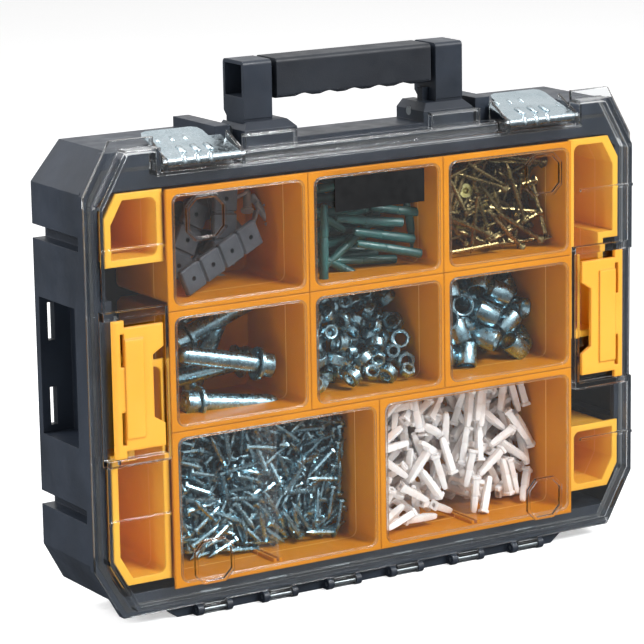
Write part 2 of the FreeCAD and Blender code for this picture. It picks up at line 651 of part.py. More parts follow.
def grid_cells():
    """The middle cups: name to low and high X and Z."""
    column = "(2 * %s / 3)" % GRID_HALF
    row = "((%s - grid_low - large_row) / 2)" % GRID_HIGH
    half_gap = "cup_gap / 2"
    edges = ["(0 - %s)" % GRID_HALF, "(%s - %s)" % (column, GRID_HALF),
             "(%s - %s)" % (GRID_HALF, column), GRID_HALF]
    floor_z = "(grid_low + large_row)"
    rows = {"middle": (floor_z, "(%s + %s)" % (floor_z, row)),
            "upper": ("(%s + %s)" % (floor_z, row), GRID_HIGH)}
    spans = {"left": edges[0:2], "centre": edges[1:3], "right": edges[2:4]}
    cells = {}
    for row_name, (low_z, high_z) in rows.items():
        for span_name, (low_x, high_x) in spans.items():
            cells["cup_%s_%s" % (row_name, span_name)] = (low_x, high_x, low_z, high_z)
    cells["cup_lower_left"] = ("(0 - %s)" % GRID_HALF, "0", "grid_low", floor_z)
    cells["cup_lower_right"] = ("0", GRID_HALF, "grid_low", floor_z)
    return {name: ("(%s + %s)" % (low_x, half_gap), "(%s - %s)" % (high_x, half_gap),
                   "(%s + %s)" % (low_z, half_gap), "(%s - %s)" % (high_z, half_gap))
            for name, (low_x, high_x, low_z, high_z) in cells.items()}


def build_divider(name, cup, span):
    """Slot ribs in a large cup and the clear plate between them."""
    low_x, high_x, low_z, high_z = span
    middle = "((%s + %s) / 2)" % (low_x, high_x)
    front = "(divider_drop - cup_proud)"
    back = "(%s - cup_floor)" % CUP_BACK
    half = "(divider_wall / 2)"
    for away, edge, inward in (("-", low_z, "+"), ("+", high_z, "-")):
        wall = "%s %s cup_rim %s cup_wall / 2" % (edge, inward, away)
        proud = "%s %s cup_rim %s slot_rib" % (edge, inward, inward)
        rib = rectangle(front, "%s + overrun" % back, wall, proud)
        for low, high in (("%s - %s - divider_play - slot_rib" % (middle, half),
                           "%s - %s - divider_play" % (middle, half)),
                          ("%s + %s + divider_play" % (middle, half),
                           "%s + %s + divider_play + slot_rib" % (middle, half))):
            pad(cup, "side", low, high, rib)
    plate = new_body(name)
    low = "%s + cup_rim + divider_play" % low_z
    high = "%s - cup_rim - divider_play" % high_z
    pad(plate, "side", "%s - %s" % (middle, half), "%s + %s" % (middle, half),
        rectangle(front, "%s - divider_play" % back, low, high))


def build_cups():
    cells = grid_cells()
    for name, span in cells.items():
        cup = build_cup(name, cell(*span), "cup_proud")
        if name.startswith("cup_lower"):
            build_divider(name.replace("cup_lower", "divider"), cup, span)
    left_long_end = "(%s - short_cup - side_gap)" % GRID_HIGH
    left_low = "(grid_low + left_lift)"
    right_low = "(grid_low + right_lift)"
    right_short_end = "(%s + short_cup)" % right_low
    sides = {
        "side_cup_short_left": side_cell("left", GRID_HIGH, "(%s - short_cup)" % GRID_HIGH),
        "side_cup_long_left": side_cell("left", left_low, left_long_end, NARROW_LOW),
        "side_cup_short_right": side_cell("right", right_low, right_short_end),
        "side_cup_long_right": side_cell("right", GRID_HIGH, "(%s + side_gap)" % right_short_end,
                                         NARROW_HIGH),
    }
    for name, outline in sides.items():
        build_cup(name, outline, "side_proud", beside_grid)


# Lid

PAN_LOW = "(plate_low - pan_end)"
PAN_HIGH = "(plate_high + pan_end)"
LID_FACE = "(0 - lid_depth)"
PAN_FACE = "(pan_depth - lid_depth)"
RISE = "(lid_border + lid_rim)"


def build_lid():
    lid = new_body("lid_shell")
    corner = [("%s - chamfer_width" % HALF, RIM_TOP), (CORNER, RIM_TOP), (CORNER, "case_height")]
    pad(lid, "front", "0 - lid_flange", "0 - running_gap", both_halves(rim_side() + corner))
    edge_top = "%s - lid_border" % RIM_TOP
    raised = rim_side("lid_border") + [("%s - chamfer_width - lid_border" % HALF, edge_top),
                                       (CORNER, edge_top), (CORNER, "case_height - lid_border")]
    pad(lid, "front", LID_FACE, "0 - lid_flange", both_halves(raised))

    # Lip over the base's top edge, and the hoods in front of the handle blocks
    lip_half = "(%s - overrun)" % CORNER
    pad(lid, "front", "0 - lid_flange", "lip_depth",
        rectangle("0 - %s" % lip_half, lip_half, "case_height - lip_wall", "case_height"))
    hood_top = "case_height + hood_rise"
    hood_out = "hood_in + hood_width"
    hoods = rectangle("hood_in", hood_out, "case_height - lip_wall", hood_top)
    pad(lid, "front", "hood_front", "lip_depth", *on_both(hoods))
    insides = rectangle("hood_in + hood_wall", "%s - hood_wall" % hood_out,
                        "case_height - lip_wall - overrun", "%s - hood_wall" % hood_top)
    cut(lid, "front", "hood_front + hood_wall", "lip_depth + overrun", *on_both(insides))

    # Hollow behind the front face, which leaves the ends of the side latch pans solid
    inner_top = "case_height - %s" % RISE
    pan_in = "%s - lid_border - pan_side" % HALF
    inner_x = "%s - %s" % (HALF, RISE)
    hollow = rim_side(RISE)
    boss_low = "%s - pan_boss" % PAN_LOW
    boss_high = "%s + pan_boss" % PAN_HIGH
    hollow[2:2] = [(inner_x, boss_low), ("%s - lid_rim" % pan_in, boss_low),
                   ("%s - lid_rim" % pan_in, boss_high), (inner_x, boss_high)]
    hollow.append((cut_at(inner_top, RISE), inner_top))
    cut(lid, "front", "%s + lid_wall" % LID_FACE, "overrun", both_halves(hollow))
    high_top = "%s - %s" % (RIM_TOP, RISE)
    corner = [("%s + lid_rim" % CORNER, "%s - overrun" % inner_top),
              (cut_at("%s - overrun" % inner_top, RISE), "%s - overrun" % inner_top),
              ("%s - chamfer_width - %s" % (HALF, RISE), high_top),
              ("%s + lid_rim" % CORNER, high_top)]
    cut(lid, "front", "%s + lid_wall" % LID_FACE, "overrun", *on_both(corner))
    under_pan = rectangle("%s - lid_rim - overrun" % pan_in, inner_x,
                          "%s - overrun" % boss_low, "%s + overrun" % boss_high)
    cut(lid, "front", "%s + pan_floor" % PAN_FACE, "overrun", *on_both(under_pan))
    pan = rectangle(pan_in, "%s + overrun" % HALF, PAN_LOW, PAN_HIGH)
    cut(lid, "front", "%s - overrun" % LID_FACE, PAN_FACE, *on_both(pan))
    cut(lid, "top", "%s - side_pin_bury" % PAN_LOW, "%s + side_pin_bury" % PAN_HIGH,
        rounds=[(PLATE_X, PLATE_Y, "side_pin"), ("0 - " + PLATE_X, PLATE_Y, "side_pin")])

    # Stacking rings and the cross ribs of the side strips
    for height in ("stack_low", "stack_high"):
        ring = [cut_square("stack_x", height, "ring_size", "ring_cut"),
                cut_square("stack_x", height, "ring_size - 2 * ring_wall", "ring_cut - ring_wall / 2")]
        pad(lid, "front", "%s - ring_rise" % LID_FACE, "%s + lid_wall / 2" % LID_FACE,
            *on_both(*ring))
    ribs = [rectangle(pan_in, "%s - lid_border" % HALF, rib, "%s + strip_rib" % rib)
            for rib in ("strip_rib_low", "strip_rib_high")]
    pad(lid, "front", "%s - strip_rib_rise" % LID_FACE, "%s + lid_wall / 2" % LID_FACE,
        *on_both(*ribs))

    # Cheeks that carry the steel latches' pins
    nose = "0 - barrel_y - barrel_radius"
    foot = "case_height - lid_border - overrun"
    cheek = [(nose, foot), (nose, "%s + barrel_radius / 2" % BARREL_Z),
             ("0 - barrel_y", "%s + barrel_radius + running_gap" % BARREL_Z),
             ("lip_depth", "case_height + cheek_rise"), ("lip_depth", "case_height - lip_wall"),
             ("0 - lid_flange", "case_height - lip_wall"), ("0 - lid_flange", foot)]
    for side in SIDES:
        for near in ("latch_in - cheek_gap - cheek_wall", "%s + cheek_gap" % LATCH_OUT):
            low, high = across(side, near, "%s + cheek_wall" % near)
            pad(lid, "side", low, high, cheek)
    past_cheek = "(%s + cheek_gap + cheek_wall + overrun)" % LATCH_OUT
    cut(lid, "side", "0 - " + past_cheek, past_cheek, rounds=[("0 - barrel_y", BARREL_Z, "latch_pin")])

    # Hinge arms: one long barrel and its tab, then the gaps between the arms
    arm_half = "((hinge_span - knuckle_width) / 2 - arm_play)"
    reach = "(5 * hinge_pitch / 2 + %s)" % arm_half
    pad(lid, "side", "0 - " + reach, reach,
        rectangle("0 - lid_flange", "0 - running_gap", HINGE_Z, "overrun"))
    pad(lid, "side", "0 - " + reach, reach, rounds=[("hinge_y", HINGE_Z, "arm_radius")])
    gaps = [rectangle("%s + %s" % (first, arm_half), "%s - %s" % (second, arm_half),
                      "0 - stand_height", "0")
            for first, second in zip(stations(), stations()[1:])]
    cut(lid, "front", "0 - lid_depth", "hinge_y + arm_radius + overrun", *gaps)
    cut(lid, "side", "0 - %s - overrun" % reach, "%s + overrun" % reach,
        rounds=[("hinge_y", HINGE_Z, "hinge_pin + pin_play")])

    label = new_body("label_plate")
    pad(label, "front", "%s - label_wall" % LID_FACE, LID_FACE,
        rectangle("0 - label_half", "label_half", "label_low", "label_low + label_height"))
    seal = new_body("lid_seal")
    pad(seal, "front", "0 - seal_squeeze", "seal_depth",
        seal_ring("seal_inset"), seal_ring("seal_inset + seal_width"))


# Pins, steel latches, side latches and handle

def build_pins():
    half = "(hinge_span / 2 + knuckle_width / 2)"
    rods = [pin("hinge_pin_%d" % k, "x", ("%s - %s" % (middle, half), "hinge_y", HINGE_Z),
                "2 * %s" % half, "hinge_pin")
            for k, middle in enumerate(stations(), start=1)]
    group("hinge_pins", rods)
    for side in SIDES:
        low, high = across(side, "latch_in - cheek_gap - cheek_wall",
                           "%s + cheek_gap + cheek_wall" % LATCH_OUT)
        nodes["latch_pin_" + side] = pin("latch_pin_" + side, "x",
                                         (low, "0 - barrel_y", BARREL_Z),
                                         "(%s) - (%s)" % (high, low), "latch_pin")
        low, high = across(side, "block_in", BLOCK_OUT)
        nodes["handle_pin_" + side] = pin("handle_pin_" + side, "x", (low, "pivot_y", PIVOT_Z),
                                          "(%s) - (%s)" % (high, low), "handle_pin")
        x, same = across(side, PLATE_X, PLATE_X)
        length = "side_pin_bury + pan_end + side_pin_reach"
        rods = [pin("side_pin_%s_%s" % (end, side), "z", (x, PLATE_Y, start), length, "side_pin")
                for end, start in (("low", "%s - side_pin_bury" % PAN_LOW),
                                   ("high", "plate_high - side_pin_reach"))]
        group("side_latch_pins_" + side, rods)


def build_steel_latch(side):
    latch = new_body("steel_latch_" + side)
    low, high = across(side, "latch_in", LATCH_OUT)
    top = [("0 - barrel_y", "%s + barrel_radius" % BARREL_Z), ("bend_y", "case_height + bend_rise"),
           ("tab_y", "case_height + tab_rise")]
    sheet_metal = top + [(y, "%s - latch_wall" % z) for y, z in reversed(top)]
    pad(latch, "side", low, high, sheet_metal)
    pad(latch, "side", low, high, rounds=[("0 - barrel_y", BARREL_Z, "barrel_radius")])
    cut(latch, "side", "%s - overrun" % low, "%s + overrun" % high,
        rounds=[("0 - barrel_y", BARREL_Z, "latch_pin + pin_play")])
    # The tab is narrower than the plate and its corners are cut back in two steps
    tab_in = "(latch_in + tab_inset)"
    end = "(tab_y + overrun)"
    inner = [("latch_in - overrun", "bend_y"), (tab_in, "bend_y"), (tab_in, "tab_y - tab_round"),
             ("%s + tab_step" % tab_in, "tab_y - tab_step"),
             ("%s + tab_round" % tab_in, "tab_y"), ("%s + tab_round" % tab_in, end),
             ("latch_in - overrun", end)]
    outer = [(LATCH_OUT, "tab_y - tab_round"),
             ("%s - tab_step" % LATCH_OUT, "tab_y - tab_step"),
             ("%s - tab_round" % LATCH_OUT, "tab_y"), ("%s - tab_round" % LATCH_OUT, end),
             ("%s + overrun" % LATCH_OUT, end), ("%s + overrun" % LATCH_OUT, "tab_y - tab_round")]
    cut(latch, "top", "case_height + bend_rise - latch_wall - overrun",
        "case_height + tab_rise + overrun", on_side(side, inner), on_side(side, outer))


def build_side_latch(side):
    latch = new_body("side_latch_" + side)
    outer = "(%s - plate_edge)" % HALF
    strip = "(%s - strip_width)" % outer
    inner = "(%s - plate_width)" % outer
    waist = "(%s + waist_depth)" % inner
    middle = "((plate_low + plate_high) / 2)"
    step_low = "(plate_low + plate_notch)"
    step_high = "(plate_high - plate_notch)"
    plate = [(strip, "plate_low"), (PLATE_X, "plate_low"), (PLATE_X, "plate_high"),
             (strip, "plate_high"), (strip, step_high), (inner, step_high),
             (inner, "%s + waist_length / 2 + waist_cut" % middle),
             (waist, "%s + waist_length / 2" % middle), (waist, "%s - waist_length / 2" % middle),
             (inner, "%s - waist_length / 2 - waist_cut" % middle), (inner, step_low),
             (strip, step_low)]
    pad(latch, "front", LID_FACE, "%s + plate_wall" % LID_FACE, on_side(side, plate))
    panel_x = "(%s - pad_width)" % strip
    panel = rectangle(panel_x, strip, "plate_low + pad_inset", "plate_high - pad_inset")
    pad(latch, "front", "%s - pad_rise" % LID_FACE, "%s + plate_wall / 2" % LID_FACE,
        on_side(side, panel))
    x, same = across(side, PLATE_X, PLATE_X)
    pad(latch, "top", "plate_low", "plate_high", rounds=[(x, PLATE_Y, "plate_barrel")])
    cut(latch, "top", "plate_low - overrun", "plate_high + overrun",
        rounds=[(x, PLATE_Y, "side_pin + pin_play")])
    slot_low, slot_high = across(side, strip, "%s + plate_slot" % strip)
    cut(latch, "front", "%s - overrun" % LID_FACE, "%s + plate_wall + overrun" % LID_FACE,
        rectangle(slot_low, slot_high, "plate_low + plate_slot_end",
                  "plate_low + plate_slot_end + plate_slot_length"),
        rectangle(slot_low, slot_high, "plate_high - plate_slot_end - plate_slot_length",
                  "plate_high - plate_slot_end"))


def build_handle():
    frame = new_body("handle_frame")
    back = "(handle_front + handle_depth)"
    top = "(case_height + handle_top)"
    foot = "(%s + arm_gap)" % BLOCK_TOP
    grip_low = "(%s - grip_height)" % top
    arm = [("handle_front", foot), ("%s - arm_taper" % back, foot), (back, "%s + arm_taper" % foot),
           (back, top), ("handle_front", top)]
    for side in SIDES:
        low, high = across(side, "handle_half - arm_width", "handle_half")
        pad(frame, "side", low, high, arm)
        fillet(frame, "handle_round", lambda edge: runs_along(edge, "x")
               and SIDES[side] * edge.CenterOfMass.x > 0
               and edge.CenterOfMass.z > size("case_height") + size("handle_top") - size("arm_wall"))
    core_low = "%s + core_inset" % grip_low
    core = rectangle("handle_front + core_inset", "%s - core_inset" % back,
                     core_low, "%s - core_inset" % top)
    reach = "(handle_half - arm_width + overrun)"
    pad(frame, "side", "0 - %s" % reach, reach, core)
    for side in SIDES:
        low, high = across(side, "handle_half - arm_width", "handle_half")
        neck = rectangle("pivot_y - hub_radius", "pivot_y + hub_radius", PIVOT_Z,
                         "%s + overrun" % foot)
        pad(frame, "side", low, high, neck)
        pad(frame, "side", low, high, rounds=[("pivot_y", PIVOT_Z, "hub_radius")])
        cut(frame, "side", "%s - overrun" % low, "%s + overrun" % high,
            rounds=[("pivot_y", PIVOT_Z, "handle_pin + pin_play")])
        low, high = across(side, "handle_half - arm_hollow", "handle_half + overrun")
        hollow = rectangle("handle_front + arm_wall", "%s - arm_wall" % back,
                           "%s + arm_wall" % grip_low, "%s - arm_wall" % top)
        cut(frame, "side", low, high, hollow)

    grip = new_body("handle_grip")
    pad(grip, "side", "0 - grip_half", "grip_half",
        rectangle("handle_front", back, grip_low, top))
    fillet(grip, "handle_round", lambda edge: runs_along(edge, "x"))
    cut(grip, "side", "0 - grip_half - overrun", "grip_half + overrun",
        rectangle("handle_front + core_inset - grip_fit", "%s - core_inset + grip_fit" % back,
                  "%s - grip_fit" % core_low, "%s - core_inset + grip_fit" % top))
    fingers = [("%d * finger_pitch" % k, "%s - finger_radius + finger_depth" % grip_low,
                "finger_radius") for k in (-2, -1, 0, 1, 2)]
    cut(grip, "front", "handle_front - overrun", "%s + overrun" % back, rounds=fingers)


build_base()
build_cups()
build_lid()
build_pins()
for side_name in SIDES:
    build_steel_latch(side_name)
    build_side_latch(side_name)
build_handle()
doc.recompute()

for thing in doc.Objects:
    if "Invalid" in thing.State or "Error" in thing.State:
        raise RuntimeError("%s did not rebuild" % thing.Name)
for feature in cuts:
    before = feature.BaseFeature.Shape.Volume
    if not feature.Shape.Volume < before:
        raise RuntimeError("%s of %s cuts nothing" % (feature.Name, feature.getParent().Label))
for name, node in nodes.items():
    if node.Shape.isNull() or not node.Shape.isValid():
        raise RuntimeError("%s is not a sound shape" % name)

os.makedirs("parts", exist_ok=True)
for name, node in nodes.items():
    node.Shape.exportStep("parts/%s.step" % name)
    box = node.Shape.BoundBox
    print("%-24s %2d solids %9.1f mm3  X %7.1f %7.1f  Y %7.1f %7.1f  Z %7.1f %7.1f" % (
        name, len(node.Shape.Solids), node.Shape.Volume,
        box.XMin, box.XMax, box.YMin, box.YMax, box.ZMin, box.ZMax))
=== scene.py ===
import math
import random

import bpy
from mathutils import Matrix, Quaternion, Vector


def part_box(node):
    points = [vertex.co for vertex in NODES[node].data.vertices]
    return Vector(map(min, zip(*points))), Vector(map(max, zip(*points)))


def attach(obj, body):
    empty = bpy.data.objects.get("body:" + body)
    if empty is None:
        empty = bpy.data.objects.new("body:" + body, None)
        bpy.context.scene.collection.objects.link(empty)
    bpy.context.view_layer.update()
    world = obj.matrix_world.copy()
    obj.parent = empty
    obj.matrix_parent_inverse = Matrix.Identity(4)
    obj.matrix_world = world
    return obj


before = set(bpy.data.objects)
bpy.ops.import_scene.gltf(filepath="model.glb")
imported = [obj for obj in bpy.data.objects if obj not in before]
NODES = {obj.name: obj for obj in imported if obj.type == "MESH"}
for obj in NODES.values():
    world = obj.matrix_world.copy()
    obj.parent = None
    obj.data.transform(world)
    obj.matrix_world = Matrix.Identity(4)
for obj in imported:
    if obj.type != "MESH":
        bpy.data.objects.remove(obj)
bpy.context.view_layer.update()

MM = 0.001
random.seed(12)


# Finishes

def linear(code):
    """A colour from its sRGB hex value, as the shader reads it."""
    parts = [int(code[k:k + 2], 16) / 255 for k in (1, 3, 5)]
    return [c / 12.92 if c <= 0.04045 else ((c + 0.055) / 1.055) ** 2.4 for c in parts] + [1]


def add_node(tree, kind, settings=(), links=()):
    """Adds a node: settings are inputs by name or number, or else the node's own options."""
    node = tree.nodes.new(kind)
    for key, value in dict(settings).items():
        if isinstance(key, int) or key in node.inputs:
            node.inputs[key].default_value = value
        else:
            setattr(node, key, value)
    for key, source in dict(links).items():
        tree.links.new(source, node.inputs[key])
    return node


def new_finish(name, settings):
    """A material with one Principled shader. Returns it, its nodes, its shader and the place."""
    material = bpy.data.materials.new(name)
    material.use_nodes = True
    tree = material.node_tree
    shader = tree.nodes["Principled BSDF"]
    for key, value in settings.items():
        shader.inputs[key].default_value = value
    place = add_node(tree, "ShaderNodeTexCoord").outputs["Object"]
    return material, tree, shader, place


def cloud(tree, place, size, detail=3):
    """Soft noise whose blotches are about one size across, in metres."""
    noise = add_node(tree, "ShaderNodeTexNoise", {"Scale": 1 / size, "Detail": detail},
                     {"Vector": place})
    return noise.outputs["Fac"]


def between(tree, share, low, high, start=0.35, end=0.65):
    """A number that goes from low to high as share goes from start to end."""
    spread = add_node(tree, "ShaderNodeMapRange",
                      {"From Min": start, "From Max": end, "To Min": low, "To Max": high},
                      {"Value": share})
    return spread.outputs["Result"]


def tinted(tree, share, first, second):
    """A colour between two hex colours."""
    mix = add_node(tree, "ShaderNodeMix", {"data_type": "RGBA", 6: linear(first), 7: linear(second)},
                   {0: share})
    return mix.outputs[2]


def relief(tree, shader, height, depth, rounding=None):
    """Fine relief of this depth. Rounding is the radius of the moulded edges."""
    bump = add_node(tree, "ShaderNodeBump", {"Strength": 1, "Distance": depth}, {"Height": height})
    if rounding:
        edge = add_node(tree, "ShaderNodeBevel", {"samples": 4, "Radius": rounding})
        tree.links.new(edge.outputs["Normal"], bump.inputs["Normal"])
    tree.links.new(bump.outputs["Normal"], shader.inputs["Normal"])


def grained_abs(name, shade, rubbed, roughness):
    """Injection-moulded ABS with a spark-eroded grain: dull, a little paler where it is rubbed.
    The real grain is about 0.3 mm and is drawn at 1.1 mm so that it shows."""
    material, tree, shader, place = new_finish(name, {"IOR": 1.53, "Specular IOR Level": 0.35})
    wear = between(tree, cloud(tree, place, 45 * MM, 5), 0, 1)
    tree.links.new(tinted(tree, wear, shade, rubbed), shader.inputs["Base Color"])
    tree.links.new(between(tree, cloud(tree, place, 12 * MM), roughness - 0.06, roughness + 0.06),
                   shader.inputs["Roughness"])
    relief(tree, shader, cloud(tree, place, 1.1 * MM, 2), 0.06 * MM, 0.7 * MM)
    return material


def moulded_polypropylene(name, shade, pale, shine):
    """Dyed polypropylene: satin, slightly waxy, so that light bleeds through thin walls. A small step
    runs round the cups' walls 24 mm below the rim, and the light its edge catches is a painted
    highlight: a pale line in the colour."""
    material, tree, shader, place = new_finish(
        name, {"IOR": 1.49, "Specular IOR Level": shine, "Subsurface Weight": 0.15,
               "Subsurface Scale": 3 * MM, "Subsurface Radius": (1, 0.6, 0.2)})
    flow = tinted(tree, between(tree, cloud(tree, place, 60 * MM, 2), 0, 1), shade, pale)
    # Painted highlight: a pale line in the colour where the step's edge catches the light
    depth = add_node(tree, "ShaderNodeSeparateXYZ", (), {0: place}).outputs["Y"]
    above = add_node(tree, "ShaderNodeMath", {"operation": "SUBTRACT", 1: -13.5 * MM}, {0: depth})
    away = add_node(tree, "ShaderNodeMath", {"operation": "ABSOLUTE"}, {0: above.outputs[0]})
    step = between(tree, away.outputs[0], 1, 0, 0.3 * MM, 0.6 * MM)
    lit = add_node(tree, "ShaderNodeMix", {"data_type": "RGBA", 7: linear("#FFC66A")},
                   {0: step, 6: flow})
    tree.links.new(lit.outputs[2], shader.inputs["Base Color"])
    tree.links.new(between(tree, cloud(tree, place, 9 * MM), 0.30, 0.40),
                   shader.inputs["Roughness"])
    relief(tree, shader, cloud(tree, place, 2 * MM, 2), 0.02 * MM, 2.2 * MM)
    return material


def clear_polycarbonate(name, tint):
    """Polished clear polycarbonate: it bends what is behind it and its edges catch the light.
    Lamps and soft light pass straight through, so that the cups inside are lit."""
    material, tree, shader, place = new_finish(
        name, {"IOR": 1.585, "Transmission Weight": 1, "Base Color": linear(tint),
               "Roughness": 0.015})
    relief(tree, shader, cloud(tree, place, 35 * MM, 1), 0.12 * MM, 1.3 * MM)
    through = add_node(tree, "ShaderNodeBsdfTransparent", {"Color": linear("#FCFDFD")})
    path = add_node(tree, "ShaderNodeLightPath")
    passes = add_node(tree, "ShaderNodeMath", {"operation": "MAXIMUM"},
                      {0: path.outputs["Is Shadow Ray"], 1: path.outputs["Is Diffuse Ray"]})
    mix = add_node(tree, "ShaderNodeMixShader", (),
                   {0: passes.outputs[0], 1: shader.outputs[0], 2: through.outputs[0]})
    tree.links.new(mix.outputs[0], tree.nodes["Material Output"].inputs["Surface"])
    return material


def clear_polystyrene():
    """Thin clear plates between the contents: hardly seen but for their edges and scuffs."""
    material, tree, shader, place = new_finish("clear_polystyrene", {"IOR": 1.59, "Roughness": 0.08})
    shader.inputs["Base Color"].default_value = linear("#D5DBDE")
    tree.links.new(between(tree, cloud(tree, place, 8 * MM, 4), 0.03, 0.09), shader.inputs["Alpha"])
    return material


def plated_steel(name, shade, dull, roughness, spangle=6, wave=0.015):
    """Zinc plated steel: a bluish metal whose plating clouds its shine in patches."""
    material, tree, shader, place = new_finish(name, {"Metallic": 1})
    patch = between(tree, cloud(tree, place, spangle * MM, 4), 0, 1)
    tree.links.new(tinted(tree, patch, shade, dull), shader.inputs["Base Color"])
    tree.links.new(between(tree, cloud(tree, place, 3 * MM), roughness - 0.05, roughness + 0.08),
                   shader.inputs["Roughness"])
    relief(tree, shader, cloud(tree, place, 1.5 * MM, 2), wave * MM)
    return material


def moulded_nylon(name, shade, second, glow):
    """Nylon plugs and anchors: waxy, with light soaking into them."""
    material, tree, shader, place = new_finish(
        name, {"IOR": 1.53, "Subsurface Weight": glow, "Subsurface Scale": 4 * MM,
               "Subsurface Radius": (1, 0.9, 0.8)})
    patch = between(tree, cloud(tree, place, 10 * MM, 2), 0, 1)
    tree.links.new(tinted(tree, patch, shade, second), shader.inputs["Base Color"])
    tree.links.new(between(tree, cloud(tree, place, 5 * MM), 0.32, 0.45),
                   shader.inputs["Roughness"])
    return material


def soft_rubber():
    """Extruded seal of black rubber: dull, with a faint bloom."""
    material, tree, shader, place = new_finish("sealing_rubber", {"IOR": 1.52})
    bloom = between(tree, cloud(tree, place, 20 * MM, 4), 0, 1)
    tree.links.new(tinted(tree, bloom, "#1E1F21", "#303235"), shader.inputs["Base Color"])
    tree.links.new(between(tree, cloud(tree, place, 4 * MM), 0.7, 0.85),
                   shader.inputs["Roughness"])
    return material


def satin_film():
    """Bare black polyester film of the label: smooth, with a soft sheen."""
    material, tree, shader, place = new_finish("satin_film", {"IOR": 1.6})
    haze = between(tree, cloud(tree, place, 25 * MM, 3), 0, 1)
    tree.links.new(tinted(tree, haze, "#060607", "#0D0E10"), shader.inputs["Base Color"])
    tree.links.new(between(tree, cloud(tree, place, 6 * MM), 0.28, 0.36),
                   shader.inputs["Roughness"])
    return material


charcoal = grained_abs("charcoal_abs", "#20262F", "#2A313C", 0.42)
grip_finish = grained_abs("grip_abs", "#161A21", "#1D222A", 0.5)
cup_finish = moulded_polypropylene("dyed_polypropylene", "#DC8B10", "#D3820B", 0.1)
# The side cups are the cups' plastic painted lighter: painted light for their more brightly lit
# insides
side_cup_painted_lighter = moulded_polypropylene("side_cup_polypropylene_painted_lighter", "#F8BA40", "#F3AF34", 0.2)
side_latch_finish = moulded_polypropylene("dyed_latch_polypropylene", "#F3AF3C", "#EEA532", 0.5)
clear = clear_polycarbonate("clear_polycarbonate", "#F8FAFB")
clear_plate = clear_polystyrene()
latch_finish = plated_steel("zinc_plated_sheet", "#C3D0D6", "#B3C2C9", 0.24, 14, 0.002)
pin_finish = plated_steel("drawn_steel_wire", "#A7ADB0", "#92989B", 0.35)
seal_finish = soft_rubber()
label_finish = satin_film()

FINISHES = {"base_shell": charcoal, "handle_frame": charcoal, "handle_grip": grip_finish,
            "lid_shell": clear, "label_plate": label_finish, "lid_seal": seal_finish}
PREFIXES = {"cup_": cup_finish, "side_cup_": side_cup_painted_lighter, "side_latch_pins": pin_finish,
            "side_latch_": side_latch_finish, "divider_": clear_plate, "steel_latch_": latch_finish,
            "latch_pin_": pin_finish, "handle_pin_": pin_finish, "hinge_pins": pin_finish}
for name, node in NODES.items():
    starts = [prefix for prefix in PREFIXES if name.startswith(prefix)]
    finish = FINISHES.get(name) or PREFIXES[max(starts, key=len)]
    node.data.materials.clear()
    node.data.materials.append(finish)


# Modelling

def alone(*pieces):
    """Selects these pieces only."""
    if bpy.context.mode != "OBJECT":
        bpy.ops.object.mode_set(mode="OBJECT")
    bpy.ops.object.select_all(action="DESELECT")
    for piece in pieces:
        piece.select_set(True)
    bpy.context.view_layer.objects.active = pieces[0]


def started(name):
    """The primitive that was just added, under a name."""
    piece = bpy.context.object
    piece.name = name
    return piece


def settled(piece, finish):
    """Puts the piece's place in its mesh and gives it its finish."""
    alone(piece)
    bpy.ops.object.transform_apply(location=True, rotation=True, scale=True)
    piece.data.materials.clear()
    piece.data.materials.append(finish)
    return piece


def turned(name, rings, sides, smooth=40, end="NGON"):
    """A turned piece along Z: rings lists (radius, height) on from its closed lower end."""
    bpy.ops.object.select_all(action="DESELECT")
    radius, height = rings[0]
    bpy.ops.mesh.primitive_circle_add(vertices=sides, radius=radius, fill_type=end,
                                      location=(0, 0, height))
    piece = started(name)
    bpy.ops.object.transform_apply(location=True, rotation=False, scale=False)
    bpy.ops.object.mode_set(mode="EDIT")
    bpy.ops.mesh.select_all(action="SELECT")
    for new_radius, new_height in rings[1:]:
        bpy.ops.mesh.extrude_region_move(
            TRANSFORM_OT_translate={"value": (0, 0, new_height - height)})
        share = new_radius / radius
        bpy.ops.transform.resize(value=(share, share, 1), center_override=(0, 0, new_height))
        radius, height = new_radius, new_height
    bpy.ops.mesh.select_all(action="SELECT")
    bpy.ops.mesh.normals_make_consistent(inside=False)
    bpy.ops.object.mode_set(mode="OBJECT")
    bpy.ops.object.shade_smooth_by_angle(angle=math.radians(smooth))
    return piece


def copies(name, model, places, finish, body="base"):
    """One piece made of copies of the model at the given places. The model goes."""
    made = []
    for place in places:
        copy = model.copy()
        copy.data = model.data.copy()
        copy.data.transform(place)
        bpy.context.scene.collection.objects.link(copy)
        made.append(copy)
    bpy.data.objects.remove(model)
    alone(*made)
    bpy.ops.object.join()
    piece = started(name)
    settled(piece, finish)
    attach(piece, body)
    return piece


def joined(first, *others):
    alone(first, *others)
    bpy.ops.object.join()
    return bpy.context.object


def ring(name, rings, sides, smooth=40):
    """A turned piece with a hole along Z: rings lists (radius, height) once round its section."""
    piece = turned(name, rings + rings[:1], sides, smooth, "NOTHING")
    alone(piece)
    bpy.ops.object.mode_set(mode="EDIT")
    bpy.ops.mesh.select_all(action="SELECT")
    bpy.ops.mesh.remove_doubles(threshold=0.01 * MM)
    bpy.ops.mesh.normals_make_consistent(inside=False)
    bpy.ops.object.mode_set(mode="OBJECT")
    return piece


def pinched(piece, every, share):
    """Draws the piece's upright lines towards its axis, all but each one whose number divides
    by every: a hexagon from twelve sides, or a plug's grooves."""
    step = math.tau / every
    for vertex in piece.data.vertices:
        turn = math.atan2(vertex.co.y, vertex.co.x)
        if abs(turn / step - round(turn / step)) > 0.01:
            vertex.co.x *= share
            vertex.co.y *= share
    return piece


def chamfered(piece, width, angle=40):
    """Bevels the piece's sharp edges."""
    alone(piece)
    bevel = piece.modifiers.new("edge", "BEVEL")
    bevel.width = width
    bevel.segments = 1
    bevel.limit_method = "ANGLE"
    bevel.angle_limit = math.radians(angle)
    bpy.ops.object.modifier_apply(modifier=bevel.name)
    return piece


